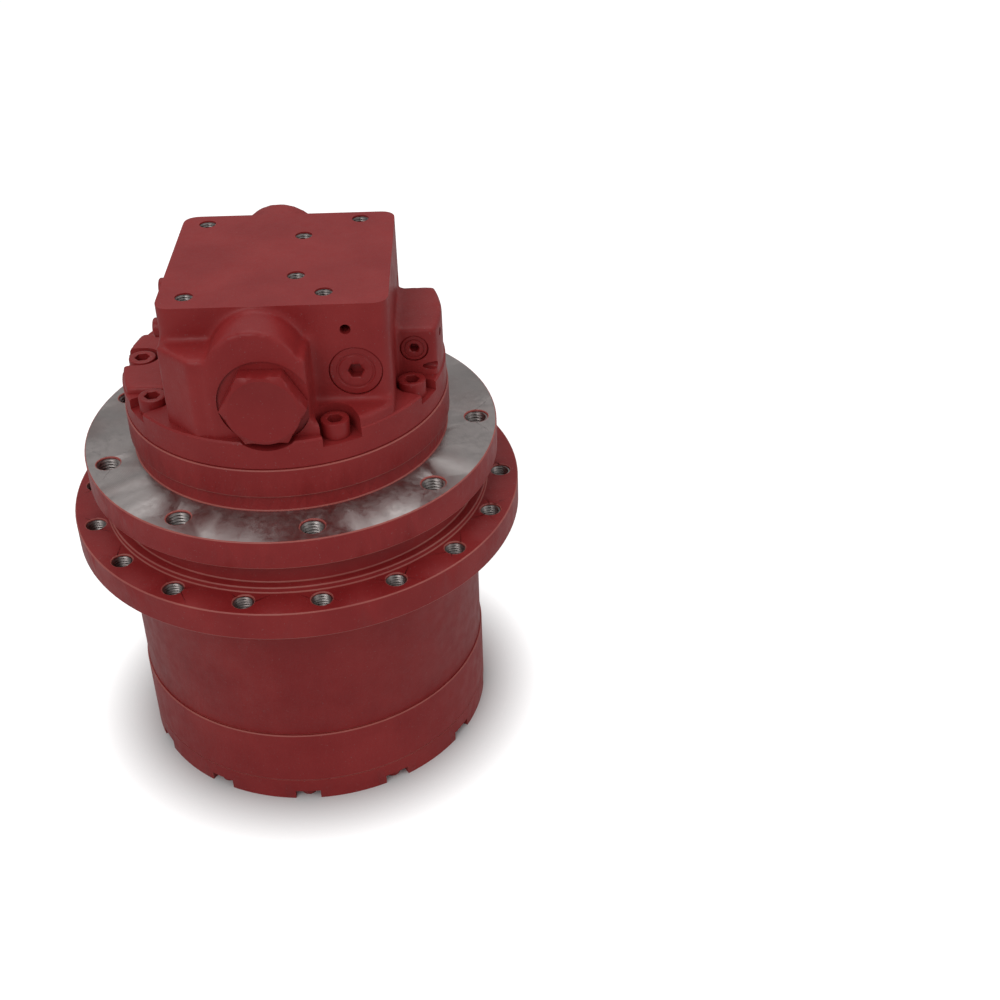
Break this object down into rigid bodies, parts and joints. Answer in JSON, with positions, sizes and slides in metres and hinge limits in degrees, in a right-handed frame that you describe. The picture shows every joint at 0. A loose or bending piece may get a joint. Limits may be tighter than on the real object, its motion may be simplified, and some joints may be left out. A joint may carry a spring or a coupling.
{
  "type": "hydraulic travel motor final drive",
  "caption": "Excavator final drive standing on its gearbox cover: rotating sprocket housing with planetary gears, fixed frame flange and a ported hydraulic motor on top.",
  "frame": {"origin": "centre of the gearbox cover's outer face, on the output axis", "axes": "+Z along the output axis from the gearbox cover towards the motor; +Y away from the front face with the flush plug, turned so that one hole of each flange lies at -Y"},
  "size_m": [0.275, 0.275, 0.32],
  "materials": {
    "red_paint": "brick-red primer over rough cast and turned iron",
    "gear_steel": "case-hardened and ground, lightly oiled",
    "bearing_steel": "fine ground",
    "motor_steel": "turned and ground",
    "bronze": "lapped"
  },
  "bodies": {
    "casing": {"motor_casing": "red_paint", "rear_cover": "red_paint", "fixed_carrier": "gear_steel", "main_bearing_inner": "bearing_steel", "shaft_bearing": "bearing_steel", "swash_plate": "motor_steel", "valve_plate": "bronze", "hex_plug_front": "red_paint", "hex_plug_back": "red_paint", "flush_plug": "red_paint", "wing_plug": "red_paint", "side_plugs": "red_paint"},
    "housing": {"sprocket_housing": "red_paint", "ring_gear": "red_paint", "end_cover": "red_paint", "cover_plugs": "red_paint", "main_bearing_outer": "bearing_steel"},
    "carrier_1": {"planet_carrier": "gear_steel", "sun_gear_2": "gear_steel"},
    "shaft": {"sun_gear_1": "gear_steel", "drive_shaft": "motor_steel", "cylinder_block": "motor_steel"},
    "spool": {"counterbalance_spool": "motor_steel"},
    "planet_1a_body": {"planet_1a": "gear_steel"},
    "planet_2a_body": {"planet_2a": "gear_steel"},
    "planet_1b_body": {"planet_1b": "gear_steel"},
    "planet_2b_body": {"planet_2b": "gear_steel"},
    "planet_1c_body": {"planet_1c": "gear_steel"},
    "planet_2c_body": {"planet_2c": "gear_steel"}
  },
  "joints": [
    {"name": "housing_spin", "type": "hinge", "parent": "casing", "child": "housing", "pos_m": [0, 0, 0], "axis": [0, 0, 1], "continuous": true},
    {"name": "carrier_1_spin", "type": "hinge", "parent": "casing", "child": "carrier_1", "pos_m": [0, 0, 0], "axis": [0, 0, 1], "continuous": true},
    {"name": "shaft_spin", "type": "hinge", "parent": "casing", "child": "shaft", "pos_m": [0, 0, 0], "axis": [0, 0, 1], "continuous": true},
    {"name": "planet_1a_spin", "type": "hinge", "parent": "carrier_1", "child": "planet_1a_body", "pos_m": [0, 0.054, 0], "axis": [0, 0, 1], "continuous": true},
    {"name": "planet_2a_spin", "type": "hinge", "parent": "casing", "child": "planet_2a_body", "pos_m": [0, 0.054, 0], "axis": [0, 0, 1], "continuous": true},
    {"name": "planet_1b_spin", "type": "hinge", "parent": "carrier_1", "child": "planet_1b_body", "pos_m": [-0.04677, -0.027, 0], "axis": [0, 0, 1], "continuous": true},
    {"name": "planet_2b_spin", "type": "hinge", "parent": "casing", "child": "planet_2b_body", "pos_m": [-0.04677, -0.027, 0], "axis": [0, 0, 1], "continuous": true},
    {"name": "planet_1c_spin", "type": "hinge", "parent": "carrier_1", "child": "planet_1c_body", "pos_m": [0.04677, -0.027, 0], "axis": [0, 0, 1], "continuous": true},
    {"name": "planet_2c_spin", "type": "hinge", "parent": "casing", "child": "planet_2c_body", "pos_m": [0.04677, -0.027, 0], "axis": [0, 0, 1], "continuous": true},
    {"name": "spool_slide", "type": "slide", "parent": "casing", "child": "spool", "axis": [0.1857, 0.9826, 0], "range_m": [-0.004, 0.004]}
  ],
  "couplings": [
    {"joint": "carrier_1_spin", "follows": "housing_spin", "ratio": -5},
    {"joint": "shaft_spin", "follows": "housing_spin", "ratio": -35},
    {"joint": "planet_1a_spin", "follows": "housing_spin", "ratio": 15},
    {"joint": "planet_2a_spin", "follows": "housing_spin", "ratio": 2.5},
    {"joint": "planet_1b_spin", "follows": "housing_spin", "ratio": 15},
    {"joint": "planet_2b_spin", "follows": "housing_spin", "ratio": 2.5},
    {"joint": "planet_1c_spin", "follows": "housing_spin", "ratio": 15},
    {"joint": "planet_2c_spin", "follows": "housing_spin", "ratio": 2.5}
  ]
}
